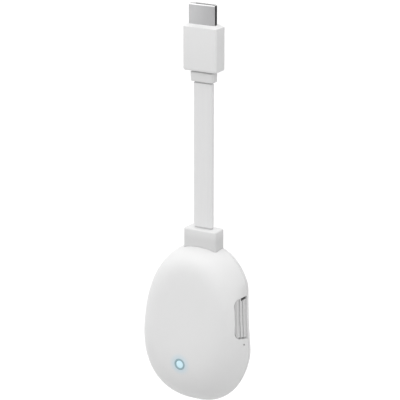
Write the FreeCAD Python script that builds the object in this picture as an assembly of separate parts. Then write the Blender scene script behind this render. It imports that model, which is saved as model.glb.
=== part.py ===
"""A streaming media stick: a leaning egg-shaped body that hangs on a flat cable from a display plug.

Millimetres. +Z runs up the cable towards the plug, +X is to the right and the front faces -Y.
The origin is the middle of the plug's raised lip, the face that meets the socket.
The body's own pieces are drawn upright, from the top of the cable relief, and lean as one.
"""
import FreeCAD, Part
import math
import os

Vector = FreeCAD.Vector

# General clearances and walls, and how far a cutting shape runs past what it cuts
fit_gap = 0.1
seat_gap = 0.05
shell_wall = 1.6
overrun = 1.0

# Plug
plug_width = 13.9
plug_depth = 4.45
plug_side_flat = 2.45
plug_back_inset = 1.6
plug_back_step = 0.6
plug_corner = 0.45
plug_metal = 0.3
plug_projection = 9.5
plug_root = 8.0
insulator_recess = 0.9
tongue_slot_width = 11.4
tongue_slot_depth = 1.5
tongue_slot_length = 7.5
contact_count = 10
contact_pitch = 1.0
contact_width = 0.45
contact_thickness = 0.18
contact_length = 6.2

# Plug housing, collar and cable
housing_width = 17.35
housing_depth = 8.2
housing_height = 21.0
housing_corner = 1.3
housing_foot_round = 1.5
lip_height = 1.0
lip_slope = 0.35
lip_margin = 0.45
plug_board_height = 9.0
plug_board_side_gap = 1.2
board_thickness = 1.0
collar_width = 12.7
collar_depth = 5.2
collar_height = 5.2
collar_taper = 0.3
collar_corner = 1.7
cable_width = 10.3
cable_depth = 3.2
cable_length = 71.3
core_width = 7.6
core_depth = 1.2

# Cable relief at the top of the body
relief_width = housing_width
relief_depth = housing_depth
relief_height = 14.0
relief_corner = 1.6
relief_top_round = 0.6
relief_ear_reach = 2.0
relief_ear_depth = 5.0
relief_ear_height = 1.6

# Body: an egg outline and a dome over it on each side of the parting plane
body_lean = 8.0
body_half_width = 27.5
body_half_length = 38.4
body_middle = -46.1
egg_exponent = 2.3
egg_taper = 0.08
egg_points = 32
parting_depth = 2.7
front_depth = 17.05
front_edge_power = 5.45
front_crown_power = 1.3
front_rise = 14.0
front_sweep = 86.0
front_section_count = 11
loft_degree = 3
back_depth = 6.0
back_round = 4.2
rebate_inset = 0.75
rebate_height = 1.5
rebate_clearance = 0.3

# Side vent in its scoop
vent_front = -7.1
vent_back = 0.6
vent_top = -29.4
vent_bottom = -48.8
vent_corner = 3.0
vent_set_in = 3.2
vent_toe = 12.0
vent_tilt = 7.7
vent_scoop_radius = 50.0
vent_plate = 1.2
vent_wall = 1.0
vent_depth = 2.2
vent_collar = 1.2
vent_reach = 9.0
vent_groove_width = 0.75
vent_groove_pitch = 1.7
vent_groove_count = 3
vent_groove_edge = 1.3
vent_groove_margin = 1.3

# Reset key behind its pinhole
pinhole_radius = 0.6
reset_depth = -0.5
reset_drop = 3.4
reset_travel = 0.25
reset_stem_radius = 0.8
reset_stem_length = 1.6
reset_stem_gap = 0.05
reset_stand_off = 1.0
reset_end_gap = 0.3
switch_length = 3.6
switch_width = 4.6
switch_front_margin = 1.5

# Status light
light_drop = 18.3
light_radius = 2.75
lens_radius = 1.85
light_ring_length = 3.2
light_sleeve_wall = 0.9
light_sleeve_length = 5.0
led_width = 1.6
led_height = 0.7

# Power socket in the lower end
usb_width = 8.94
usb_depth = 3.26
usb_length = 7.3
usb_metal = 0.3
usb_set_back = 1.1
usb_tongue_width = 6.69
usb_tongue_depth = 0.7
usb_tongue_reach = 4.45
usb_tongue_set_back = 0.7
usb_contact_count = 12
usb_contact_pitch = 0.5
usb_contact_width = 0.25
usb_contact_thickness = 0.1
usb_contact_length = 3.3
usb_contact_margin = 0.3

# Main board and what it carries
board_side_margin = 4.5
board_end_margin = 7.4
board_drop = 3.9
board_top_gap = 9.5
header_width = 12.0
header_height = 4.0
header_depth = 2.6
processor_side = 14.0
processor_thickness = 1.3
processor_level = -46.5
shield_length = 22.0
shield_side_gap = 2.5
shield_height = 2.3
shield_metal = 0.2
pad_side = 13.0
pad_thickness = 0.8
spreader_side_margin = 8.0
spreader_height = 25.0
spreader_thickness = 1.5
spreader_leg_width = 3.0
chip_width = 9.0
chip_height = 11.0
chip_thickness = 0.9
chip_gap = 4.5
radio_width = 11.0
radio_height = 7.0
radio_thickness = 1.8
radio_side = 8.0
radio_level = -31.5
antenna_length = 9.0
antenna_strip = 1.2
antenna_height = 3.0
antenna_metal = 0.3
antenna_side_margin = 5.8
antenna_level = -37.5
inductor_side = 4.0
inductor_height = 2.0
inductor_corner = 0.8
inductor_place = -8.5
inductor_level = -69.0
crystal_width = 3.2
crystal_height = 2.5
crystal_thickness = 0.8
crystal_level = -30.5
capacitor_width = 1.2
capacitor_length = 2.0
capacitor_thickness = 0.9
capacitor_count = 5
capacitor_pitch = 2.2
capacitor_start = 4.5
capacitor_level = -67.5
screw_radius = 0.85
screw_length = 3.6
screw_head_radius = 1.6
screw_head_height = 0.9
screw_slot_width = 0.6
screw_slot_length = 2.0
boss_radius = 2.1
screw_places = ((-12.5, -31.5), (16.5, -57.5), (-13.5, -66.5))

# What follows the body's outline and the pieces beside it
vent_floor = body_half_width - vent_set_in
reset_level = vent_bottom - reset_drop
light_level = body_middle - light_drop
board_half_width = body_half_width - board_side_margin
board_half_length = body_half_length - board_end_margin
board_middle = body_middle - board_drop
board_top = -relief_height - board_top_gap
antenna_side = board_half_width - antenna_side_margin
spreader_width = 2 * (board_half_width - spreader_side_margin)
shield_width = spreader_width - 2 * (spreader_thickness + shield_side_gap)

# Heights along Z in the plug's frame
housing_top = -lip_height
housing_bottom = housing_top - housing_height
collar_bottom = housing_bottom - collar_height
relief_top = collar_bottom - cable_length
relief_bottom = relief_top - relief_height

# Depths along Y in the body's upright frame, front negative
board_front = parting_depth - board_thickness / 2
board_back = parting_depth + board_thickness / 2
front_face = parting_depth - front_depth
back_face = parting_depth + back_depth


def box(x_low, x_high, y_low, y_high, z_low, z_high):
    """A block between three pairs of planes."""
    corner = Vector(x_low, y_low, z_low)
    return Part.makeBox(x_high - x_low, y_high - y_low, z_high - z_low, corner)


def upright_edges(shape):
    """The edges of a block that run along Z."""
    return [edge for edge in shape.Edges
            if edge.BoundBox.XLength < 1e-6 and edge.BoundBox.YLength < 1e-6]


def level_edges(shape, level):
    """The edges that lie in the plane at one height."""
    return [edge for edge in shape.Edges
            if abs(edge.BoundBox.ZMin - level) < 1e-6 and abs(edge.BoundBox.ZMax - level) < 1e-6]


def rounded_block(width, depth, z_low, z_high, corner):
    """A block about the Z axis with its four upright edges rounded."""
    block = box(-width / 2, width / 2, -depth / 2, depth / 2, z_low, z_high)
    return block.makeFillet(corner, upright_edges(block))


def rounded_section(width, depth, corner, level):
    """A closed wire: a rectangle with round corners in the plane at one height."""
    block = rounded_block(width, depth, level, level + overrun, corner)
    for face in block.Faces:
        if abs(face.CenterOfMass.z - level) < 1e-6:
            return face.OuterWire


def stadium_block(width, depth, z_low, z_high):
    """A flat bar with half-round sides."""
    reach = (width - depth) / 2
    middle = box(-reach, reach, -depth / 2, depth / 2, z_low, z_high)
    height = z_high - z_low
    starts = [Vector(side * reach, 0, z_low) for side in (-1, 1)]
    sides = [Part.makeCylinder(depth / 2, height, start) for start in starts]
    return middle.multiFuse(sides).removeSplitter()


def lean(shape):
    """Put a piece from the body's upright frame in its place: leaning, under the cable."""
    placed = shape.copy()
    placed.rotate(Vector(0, 0, 0), Vector(1, 0, 0), -body_lean)
    placed.translate(Vector(0, 0, relief_top))
    return placed


# The plug and its cable

def plug_outline(grow):
    """The plug's section: a wide front, upright sides and stepped corners at the back."""
    front = -plug_depth / 2 - grow
    back = plug_depth / 2 + grow
    side = plug_width / 2 + grow
    shoulder = -plug_depth / 2 + plug_side_flat
    inner = plug_width / 2 - plug_back_inset + grow
    step = back - plug_back_step
    right = [(side, front), (side, shoulder), (inner, step), (inner, back)]
    left = [(-x, y) for x, y in reversed(right)]
    points = [Vector(x, y, 0) for x, y in right + left]
    return Part.makePolygon(points + points[:1])


def plug_prism(grow, z_low, z_high):
    """The plug's section drawn up into a bar, with its wide corners rounded."""
    face = Part.Face(plug_outline(grow))
    bar = face.extrude(Vector(0, 0, z_high - z_low))
    bar.translate(Vector(0, 0, z_low))
    outermost = plug_width / 2 - plug_back_inset / 2
    sides = [edge for edge in upright_edges(bar) if abs(edge.BoundBox.XMin) > outermost]
    return bar.makeFillet(plug_corner, sides)


def make_plug_shell():
    outer = plug_prism(0.0, -plug_root, plug_projection)
    inner = plug_prism(-plug_metal, -plug_root - overrun, plug_projection + overrun)
    return outer.cut(inner)


def make_plug_insulator():
    body = plug_prism(-plug_metal - seat_gap, -plug_root, plug_projection - insulator_recess)
    top = plug_projection - insulator_recess
    half = tongue_slot_width / 2
    reach = tongue_slot_depth / 2
    slot = box(-half, half, -reach, reach, top - tongue_slot_length, top + overrun)
    for side in (-1, 1):
        slot = slot.fuse(contact_row(side, top + overrun))
    return body.cut(slot)


def contact_row(side, z_high):
    """Strips sunk in one wall of the tongue slot; the back row holds one fewer, half a pitch over."""
    count = contact_count if side < 0 else contact_count - 1
    z_low = plug_projection - insulator_recess - contact_length
    wall = side * tongue_slot_depth / 2
    y_low, y_high = sorted((wall, wall + side * contact_thickness))
    strips = []
    for index in range(count):
        x_low = (index - (count - 1) / 2) * contact_pitch - contact_width / 2
        strips.append(box(x_low, x_low + contact_width, y_low, y_high, z_low, z_high))
    return Part.makeCompound(strips)


def make_plug_contacts():
    top = plug_projection - insulator_recess - contact_width
    rows = [contact_row(side, top) for side in (-1, 1)]
    return Part.makeCompound([strip for row in rows for strip in row.Solids])


def make_plug_board():
    half = plug_width / 2 - plug_board_side_gap
    top = -plug_root
    return box(-half, half, -board_thickness / 2, board_thickness / 2, top - plug_board_height, top)


def make_plug_core():
    top = -plug_root - plug_board_height
    return stadium_block(core_width, core_depth, collar_bottom, top)


def core_hole(z_low, z_high):
    """The way through a moulded piece for the cable's core."""
    return stadium_block(core_width + 2 * seat_gap, core_depth + 2 * seat_gap, z_low, z_high)


def make_plug_housing():
    body = rounded_block(housing_width, housing_depth, housing_bottom, housing_top, housing_corner)
    body = body.makeFillet(housing_foot_round, level_edges(body, housing_bottom))
    foot_width = housing_width - 2 * lip_slope
    foot_depth = housing_depth - 2 * lip_slope
    foot = rounded_section(foot_width, foot_depth, housing_corner, housing_top)
    crown_width = plug_width + 2 * lip_margin
    crown_depth = plug_depth + 2 * lip_margin
    crown = rounded_section(crown_width, crown_depth, housing_corner, 0.0)
    body = body.fuse(Part.makeLoft([foot, crown], True, True))
    body = body.cut(plug_prism(seat_gap, -plug_root, overrun))
    board_half = plug_width / 2 - plug_board_side_gap + fit_gap
    board_reach = board_thickness / 2 + fit_gap
    pocket_bottom = -plug_root - plug_board_height - fit_gap
    body = body.cut(box(-board_half, board_half, -board_reach, board_reach, pocket_bottom, 0.0))
    return body.cut(core_hole(housing_bottom - overrun, -plug_root))


def make_plug_collar():
    top = rounded_section(collar_width, collar_depth, collar_corner, housing_bottom)
    bottom = rounded_section(collar_width - 2 * collar_taper, collar_depth - 2 * collar_taper,
                             collar_corner - collar_taper / 2, collar_bottom)
    collar = Part.makeLoft([bottom, top], True, True)
    return collar.cut(core_hole(collar_bottom - overrun, housing_bottom + overrun))


def make_flat_cable():
    cable = stadium_block(cable_width, cable_depth, relief_top, collar_bottom)
    section = (cable_width - cable_depth) * cable_depth + math.pi * cable_depth ** 2 / 4
    expected = section * cable_length
    print("flat cable volume", round(cable.Volume, 1), "section times length", round(expected, 1))
    return cable


def make_cable_relief():
    block = rounded_block(relief_width, relief_depth, relief_bottom, relief_top, relief_corner)
    block = block.makeFillet(relief_top_round, level_edges(block, relief_top))
    reach = relief_width / 2 + relief_ear_reach
    ears = box(-reach, reach, -relief_ear_depth / 2, relief_ear_depth / 2,
               relief_bottom, relief_bottom + relief_ear_height)
    hole = core_hole(relief_bottom - overrun, relief_top + overrun)
    return block.fuse(ears).removeSplitter().cut(hole)


def relief_passage():
    """The way through the shells for the relief, with its clearance."""
    width = relief_width + 2 * fit_gap
    depth = relief_depth + 2 * fit_gap
    return rounded_block(width, depth, relief_bottom, relief_top, relief_corner + fit_gap)


def make_cable_leads():
    """The cable's cores, inside the relief and on down to the board's header."""
    inside = stadium_block(core_width, core_depth, relief_bottom, relief_top)
    front = board_front - header_depth / 2 - core_depth / 2
    half = core_width / 2
    tail = box(-half, half, front, front + core_depth, board_top, board_top + relief_height)
    below = box(-core_width, core_width, -relief_depth, relief_depth,
                relief_bottom - relief_height, relief_bottom)
    return inside.fuse(lean(tail).common(below)).removeSplitter()


# The body's shells

def egg_wire(half_width, half_length, middle, depth):
    """The egg outline in the plane at one depth: a superellipse that tapers towards its top."""
    points = []
    for index in range(egg_points):
        angle = 2 * math.pi * index / egg_points
        across = math.cos(angle)
        along = math.sin(angle)
        power_across = abs(across / half_width) ** egg_exponent
        power_along = abs(along / half_length) ** egg_exponent
        radius = (power_across + power_along) ** (-1 / egg_exponent)
        z = radius * along
        points.append(Vector(radius * across * (1 - egg_taper * z / half_length), depth, middle + z))
    curve = Part.BSplineCurve()
    curve.interpolate(Points=points, PeriodicFlag=True, Parameters=list(range(egg_points + 1)))
    return Part.Wire(curve.toShape())


def egg_slab(inset, y_low, y_high):
    """A flat slab with the body's outline, drawn in by an inset."""
    wire = egg_wire(body_half_width - inset, body_half_length - inset, body_middle, y_low)
    return Part.Face(wire).extrude(Vector(0, y_high - y_low, 0))


def front_dome(inset):
    """The front's full form, drawn in by an inset: a loft of ever smaller eggs out to a flat crown.

    Size and depth are the two sides of a superellipse, swept from the rim by an even angle.
    The eggs' middle climbs as they shrink.
    """
    wires = []
    for index in range(front_section_count):
        angle = math.radians(front_sweep * index / (front_section_count - 1))
        size = math.cos(angle) ** (2 / front_edge_power)
        step = math.sin(angle) ** (2 / front_crown_power)
        half_width = (body_half_width - inset) * size
        half_length = (body_half_length - inset) * size
        middle = body_middle + front_rise * (1 - size)
        depth = parting_depth - step * (front_depth - inset)
        wires.append(egg_wire(half_width, half_length, middle, depth))
    return Part.makeLoft(wires, True, False, False, loft_degree)


def back_tray(inset):
    """The back's full form, drawn in by an inset: a flat slab with its rear edge rounded."""
    rear_level = back_face - inset
    slab = egg_slab(inset, parting_depth, rear_level)
    rear = [edge for edge in slab.Edges if abs(edge.CenterOfMass.y - rear_level) < 1e-6]
    return slab.makeFillet(back_round - inset, rear)


def usb_mouth():
    """The level of the socket's mouth, a little inside the body's lower end."""
    return body_middle - body_half_length + usb_set_back


def usb_block(width, depth, z_low, z_high):
    block = stadium_block(width, depth, z_low, z_high)
    block.translate(Vector(0, parting_depth, 0))
    return block


def usb_passage():
    """The socket's rounded slot, with its clearance, from inside the body out through its lower end."""
    return usb_block(usb_width + 2 * fit_gap, usb_depth + 2 * fit_gap,
                     usb_mouth() - usb_set_back - overrun, usb_mouth() + usb_length)


def vent_prism(grow, x_low, x_high):
    """The vent's rounded window, drawn out along X and toed to suit the curved side."""
    low = vent_front - grow
    high = vent_back + grow
    block = box(x_low, x_high, low, high, vent_bottom - grow, vent_top + grow)
    along_x = [edge for edge in block.Edges if edge.BoundBox.XLength > (x_high - x_low) / 2]
    return block.makeFillet(vent_corner + grow, along_x)


def vent_roller(grow):
    """A big cylinder whose side is the scoop's hollow floor, turned to lie along the egg's side."""
    middle = Vector(vent_floor, (vent_front + vent_back) / 2, (vent_top + vent_bottom) / 2)
    start = middle + Vector(vent_scoop_radius, -vent_scoop_radius, 0)
    roller = Part.makeCylinder(vent_scoop_radius + grow, 2 * vent_scoop_radius, start, Vector(0, 1, 0))
    roller.rotate(middle, Vector(0, 0, 1), -vent_toe)
    roller.rotate(middle, Vector(0, 1, 0), -vent_tilt)
    return roller


def make_vent_grille():
    """A hollow plate with upright slots, and a wall around it that reaches in past the shell."""
    low = vent_floor - vent_depth
    high = vent_floor + vent_reach
    cup = vent_prism(-fit_gap, low, high).cut(vent_roller(0.0))
    hollow = vent_prism(-fit_gap - vent_wall, low - vent_wall, high).cut(vent_roller(vent_plate))
    grille = cup.cut(hollow)
    half = vent_groove_width / 2
    for index in range(vent_groove_count):
        centre = vent_back - vent_groove_edge - index * vent_groove_pitch
        grille = grille.cut(box(low, high, centre - half, centre + half,
                                vent_bottom + vent_groove_margin, vent_top - vent_groove_margin))
    return grille


def bar_along_y(radius, length, x, y, z):
    """A round bar that runs towards the back from a point."""
    return Part.makeCylinder(radius, length, Vector(x, y, z), Vector(0, 1, 0))


def light_plug(radius, y_low, y_high):
    """A round bar along Y at the status light."""
    return bar_along_y(radius, y_high - y_low, 0, y_low, light_level)


def pinhole_bar():
    start = Vector(body_half_width / 2, reset_depth, reset_level)
    return Part.makeCylinder(pinhole_radius, body_half_width, start, Vector(1, 0, 0))


def make_front_shell():
    shell = front_dome(0.0).cut(front_dome(shell_wall))
    mid_wall = front_dome(shell_wall / 2)
    sleeve = light_plug(light_radius + fit_gap + light_sleeve_wall, front_face,
                        front_face + shell_wall + light_sleeve_length)
    collar = vent_prism(vent_collar, vent_floor - vent_depth, vent_floor + vent_reach)
    shell = shell.fuse(sleeve.common(mid_wall)).fuse(collar.common(mid_wall))
    shell = shell.cut(light_plug(light_radius + seat_gap, front_face - overrun, board_front))
    shell = shell.cut(egg_slab(rebate_inset, parting_depth - rebate_height, parting_depth + overrun))
    shell = shell.cut(vent_prism(0.0, vent_floor - vent_reach, vent_floor + vent_reach))
    shell = shell.cut(pinhole_bar())
    shell = shell.cut(usb_passage())
    return lean(shell).cut(relief_passage())


def screw_boss(x, z):
    """A pillar on the rear shell with a hole for one board screw."""
    height = back_face - board_back - shell_wall / 2
    pillar = bar_along_y(boss_radius, height, x, board_back, z)
    return pillar.cut(bar_along_y(screw_radius + seat_gap, screw_length, x, board_back, z))


def make_rear_shell():
    shell = back_tray(0.0).cut(back_tray(shell_wall))
    lip_end = parting_depth - rebate_height + rebate_clearance
    lip = egg_slab(rebate_inset + fit_gap, lip_end, parting_depth)
    lip = lip.cut(egg_slab(shell_wall - fit_gap, lip_end - overrun, parting_depth + overrun))
    shell = shell.fuse(lip)
    for x, z in screw_places:
        shell = shell.fuse(screw_boss(x, z))
    shell = shell.cut(usb_passage())
    return lean(shell).cut(relief_passage())


# The pieces inside the body

def make_light_ring():
    end = front_face + light_ring_length
    ring = light_plug(light_radius, front_face, end)
    ring = ring.cut(light_plug(lens_radius + seat_gap, front_face - overrun, end + overrun))
    return ring.common(front_dome(0.0))


def make_light_pipe():
    pipe = light_plug(lens_radius, front_face, board_front - led_height - seat_gap)
    shoulder = light_plug(light_radius, front_face + light_ring_length + seat_gap,
                          front_face + shell_wall + light_sleeve_length)
    return pipe.fuse(shoulder).removeSplitter().common(front_dome(0.0))


def plate(x, z, width, height, y_low, y_high):
    """A block between two depths, centred at x and z."""
    return box(x - width / 2, x + width / 2, y_low, y_high, z - height / 2, z + height / 2)


def on_front(x, z, width, height, thickness, lift=0.0):
    """A block on the board's front face, centred at x and z."""
    face = board_front - lift
    return plate(x, z, width, height, face - thickness, face)


def on_back(x, z, width, height, thickness):
    """A block on the board's rear face, centred at x and z."""
    return plate(x, z, width, height, board_back, board_back + thickness)


def make_status_led():
    return on_front(0, light_level, led_width, led_width, led_height)


def make_main_board():
    outline = egg_wire(board_half_width, board_half_length, board_middle, board_front)
    board = Part.Face(outline).extrude(Vector(0, board_thickness, 0))
    board = board.cut(box(-board_half_width, board_half_width, board_front, board_back, board_top, 0.0))
    half = usb_width / 2 + fit_gap
    inner_end = usb_mouth() + usb_length + fit_gap
    board = board.cut(box(-half, half, board_front, board_back, usb_mouth() - overrun, inner_end))
    for x, z in screw_places:
        board = board.cut(bar_along_y(screw_radius + fit_gap, board_thickness, x, board_front, z))
    return board


def make_cable_header():
    level = board_top - header_height / 2
    return on_front(0, level, header_width, header_height, header_depth)


def make_processor():
    return on_front(0, processor_level, processor_side, processor_side, processor_thickness)


def make_processor_pad():
    thickness = shield_height - shield_metal - processor_thickness
    return on_front(0, processor_level, pad_side, pad_side, thickness, processor_thickness)


def make_shield_can():
    can = on_front(0, processor_level, shield_width, shield_length, shield_height)
    inner_width = shield_width - 2 * shield_metal
    inner_length = shield_length - 2 * shield_metal
    inside = on_front(0, processor_level, inner_width, inner_length, shield_height - shield_metal)
    return can.cut(inside)


def make_spreader_pad():
    return on_front(0, processor_level, pad_side, pad_side, pad_thickness, shield_height)


def make_heat_spreader():
    lift = shield_height + pad_thickness
    spreader = on_front(0, processor_level, spreader_width, spreader_height, spreader_thickness, lift)
    across = [edge for edge in spreader.Edges if edge.BoundBox.YLength > spreader_thickness / 2]
    spreader = spreader.makeFillet(spreader_leg_width, across)
    leg_height = lift + spreader_thickness / 2
    for side in (-1, 1):
        x = side * (spreader_width - spreader_thickness) / 2
        leg = on_front(x, processor_level, spreader_thickness, spreader_leg_width, leg_height)
        spreader = spreader.fuse(leg)
    return spreader.removeSplitter()


def make_memory_chips():
    chips = []
    for side in (-1, 1):
        x = side * (chip_width + chip_gap) / 2
        chips.append(on_back(x, processor_level, chip_width, chip_height, chip_thickness))
    return Part.makeCompound(chips)


def make_radio_module():
    return on_front(radio_side, radio_level, radio_width, radio_height, radio_thickness)


def make_antennas():
    """Two bent strips, one on each side, each on a foot at its inner end."""
    strips = []
    for side in (-1, 1):
        arm = on_front(side * antenna_side, antenna_level, antenna_strip, antenna_length, antenna_metal,
                       antenna_height - antenna_metal)
        foot_level = antenna_level + antenna_length / 2 - antenna_metal / 2
        foot = on_front(side * antenna_side, foot_level, antenna_strip, antenna_metal, antenna_height)
        strips.append(arm.fuse(foot).removeSplitter())
    return Part.makeCompound(strips)


def make_inductor():
    block = on_front(inductor_place, inductor_level, inductor_side, inductor_side, inductor_height)
    upright = [edge for edge in block.Edges if edge.BoundBox.YLength > inductor_height / 2]
    return block.makeFillet(inductor_corner, upright)


def make_crystal():
    return on_front(0, crystal_level, crystal_width, crystal_height, crystal_thickness)


def make_capacitors():
    row = []
    for index in range(capacitor_count):
        x = capacitor_start + index * capacitor_pitch
        row.append(on_front(x, capacitor_level, capacitor_width, capacitor_length, capacitor_thickness))
    return Part.makeCompound(row)


def make_board_screws():
    screws = []
    top = board_front - screw_head_height
    slots = ((screw_slot_length, screw_slot_width), (screw_slot_width, screw_slot_length))
    for x, z in screw_places:
        head = bar_along_y(screw_head_radius, screw_head_height, x, top, z)
        screw = head.fuse(bar_along_y(screw_radius, screw_length, x, board_front, z))
        for width, height in slots:
            screw = screw.cut(plate(x, z, width, height, top, top + screw_head_height / 2))
        screws.append(screw.removeSplitter())
    return Part.makeCompound(screws)


def make_usb_shell():
    outer = usb_block(usb_width, usb_depth, usb_mouth(), usb_mouth() + usb_length)
    inner = usb_block(usb_width - 2 * usb_metal, usb_depth - 2 * usb_metal,
                      usb_mouth() - overrun, usb_mouth() + usb_length - usb_metal)
    return outer.cut(inner)


def make_usb_tongue():
    top = usb_mouth() + usb_length - usb_metal
    back_thickness = usb_length - usb_metal - usb_tongue_reach - usb_tongue_set_back
    gap = 2 * (usb_metal + seat_gap)
    back = usb_block(usb_width - gap, usb_depth - gap, top - back_thickness, top)
    half = usb_tongue_width / 2
    front = parting_depth - usb_tongue_depth / 2
    tip = top - back_thickness - usb_tongue_reach
    tongue = box(-half, half, front, front + usb_tongue_depth, tip, top)
    return back.fuse(tongue).removeSplitter()


def make_usb_contacts():
    low = usb_mouth() + usb_tongue_set_back + usb_contact_margin
    high = low + usb_contact_length
    strips = []
    for side in (-1, 1):
        face = parting_depth + side * usb_tongue_depth / 2
        y_low, y_high = sorted((face, face + side * usb_contact_thickness))
        for index in range(usb_contact_count):
            x_low = (index - (usb_contact_count - 1) / 2) * usb_contact_pitch - usb_contact_width / 2
            strips.append(box(x_low, x_low + usb_contact_width, y_low, y_high, low, high))
    return Part.makeCompound(strips)


def switch_face():
    """Where the reset switch's side stands: a set distance inside the pinhole."""
    return board_half_width - reset_stand_off


def make_reset_switch():
    x_high = switch_face()
    body = box(x_high - switch_width, x_high, reset_depth - switch_front_margin, board_front,
               reset_level - switch_length / 2, reset_level + switch_length / 2)
    bore_depth = reset_stem_length + reset_travel + reset_end_gap
    bore = Part.makeCylinder(reset_stem_radius + reset_stem_gap, bore_depth,
                             Vector(x_high, reset_depth, reset_level), Vector(-1, 0, 0))
    return body.cut(bore)


def make_reset_plunger():
    start = Vector(switch_face() - reset_stem_length, reset_depth, reset_level)
    return Part.makeCylinder(reset_stem_radius, 2 * reset_stem_length, start, Vector(1, 0, 0))


PIECES = {
    "plug_shell": make_plug_shell,
    "plug_insulator": make_plug_insulator,
    "plug_contacts": make_plug_contacts,
    "plug_board": make_plug_board,
    "plug_core": make_plug_core,
    "plug_housing": make_plug_housing,
    "plug_collar": make_plug_collar,
    "flat_cable": make_flat_cable,
    "cable_relief": make_cable_relief,
    "cable_leads": make_cable_leads,
    "front_shell": make_front_shell,
    "rear_shell": make_rear_shell,
}

LEANING_PIECES = {
    "vent_grille": make_vent_grille,
    "light_ring": make_light_ring,
    "light_pipe": make_light_pipe,
    "status_led": make_status_led,
    "main_board": make_main_board,
    "cable_header": make_cable_header,
    "processor": make_processor,
    "processor_pad": make_processor_pad,
    "shield_can": make_shield_can,
    "spreader_pad": make_spreader_pad,
    "heat_spreader": make_heat_spreader,
    "memory_chips": make_memory_chips,
    "radio_module": make_radio_module,
    "antennas": make_antennas,
    "power_inductor": make_inductor,
    "clock_crystal": make_crystal,
    "capacitors": make_capacitors,
    "board_screws": make_board_screws,
    "usb_shell": make_usb_shell,
    "usb_tongue": make_usb_tongue,
    "usb_contacts": make_usb_contacts,
    "reset_switch": make_reset_switch,
    "reset_plunger": make_reset_plunger,
}


def main():
    os.makedirs("parts", exist_ok=True)
    for name, make in PIECES.items():
        make().exportStep("parts/" + name + ".step")
    for name, make in LEANING_PIECES.items():
        lean(make()).exportStep("parts/" + name + ".step")


main()
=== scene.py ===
# %% [markdown]
# # A streaming media stick, dressed for its photograph
#
# The object is an egg-shaped white body that hangs by a short flat cable from a display plug.
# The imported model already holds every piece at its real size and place. This script gives each
# piece its finish, and builds the moulded surfaces that show as fine meshes: the two shells,
# the vent, the status light, the plug and the cable. All lengths are written in millimetres
# and turned into metres when a mesh is made.

# %% Load the frame
import bpy
import math
import numpy as np
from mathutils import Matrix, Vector


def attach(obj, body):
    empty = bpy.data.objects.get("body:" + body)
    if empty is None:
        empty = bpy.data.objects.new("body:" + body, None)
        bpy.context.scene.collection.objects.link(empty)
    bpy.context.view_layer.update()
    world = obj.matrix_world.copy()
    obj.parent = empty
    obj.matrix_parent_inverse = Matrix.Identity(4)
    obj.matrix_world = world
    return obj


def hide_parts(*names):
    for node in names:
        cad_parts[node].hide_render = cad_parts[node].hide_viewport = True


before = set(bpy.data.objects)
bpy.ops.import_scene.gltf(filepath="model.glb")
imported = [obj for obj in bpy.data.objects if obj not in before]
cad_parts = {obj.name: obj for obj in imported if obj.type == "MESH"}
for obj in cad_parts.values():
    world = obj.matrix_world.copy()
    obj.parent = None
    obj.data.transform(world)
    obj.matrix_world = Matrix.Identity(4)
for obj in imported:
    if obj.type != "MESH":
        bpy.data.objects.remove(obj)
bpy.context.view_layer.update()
body_name = "stick"


# %% [markdown]
# ## Camera
#
# A product photograph like this is taken with a long lens from a little above. The lens,
# direction and distance here were solved from straight edges of known size: the plug, its
# housing and the cable. A camera could be aimed with a constraint, but plain angles keep the
# numbers readable: one turn about Z for the azimuth and one tilt for the elevation.

# %% Place the camera
camera_azimuth = math.radians(30.95)
camera_elevation = math.radians(16.89)
camera_distance = 945.11
camera_lens = 180.0
camera_offset = -1.79
camera_height = -84.74


def make_camera():
    """The camera stands back from its target along the direction given by azimuth and elevation."""
    back = Vector((math.sin(camera_azimuth) * math.cos(camera_elevation),
                   -math.cos(camera_azimuth) * math.cos(camera_elevation),
                   math.sin(camera_elevation)))
    target = Vector((camera_offset * math.cos(camera_azimuth),
                     camera_offset * math.sin(camera_azimuth), camera_height))
    data = bpy.data.cameras.new("photo_camera")
    data.lens = camera_lens
    data.sensor_width = 36.0
    data.clip_start = 0.01
    camera = bpy.data.objects.new("photo_camera", data)
    camera.location = (target + back * camera_distance) / 1000
    camera.rotation_euler = (math.pi / 2 - camera_elevation, 0, camera_azimuth)
    bpy.context.scene.collection.objects.link(camera)
    bpy.context.scene.camera = camera
    return camera


camera = make_camera()
print("camera at", [round(v, 3) for v in camera.location])


# %% [markdown]
# ## Meshes from arrays
#
# Every new piece is a set of closed rings, one after the other, like the layers of a vase.
# Blender could also loft curves or use Spin, but rings held in one array of shape
# (rows, columns, 3) keep each shape as a formula, and one helper turns any of them into faces.

# %% Rings into a mesh
sharp_edge = 35.0


def ring_faces(rows, columns, loop):
    """Quads between neighbouring rings; with loop, also from the last ring back to the first."""
    row, column = np.meshgrid(np.arange(rows if loop else rows - 1), np.arange(columns), indexing="ij")
    below = (row + 1) % rows
    beside = (column + 1) % columns
    return np.stack([row * columns + column, row * columns + beside,
                     below * columns + beside, below * columns + column], axis=-1).reshape(-1, 4)


def put_mesh(name, points, faces, sharp_from=sharp_edge):
    """A mesh object from points in millimetres and a list of face index lists."""
    data = bpy.data.meshes.new(name)
    data.from_pydata((np.asarray(points) / 1000).tolist(), [], faces)
    data.validate()
    data.polygons.foreach_set("use_smooth", np.ones(len(data.polygons), dtype=bool))
    data.set_sharp_from_angle(angle=math.radians(sharp_from))
    data.update()
    piece = bpy.data.objects.new(name, data)
    bpy.context.scene.collection.objects.link(piece)
    return piece


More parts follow.
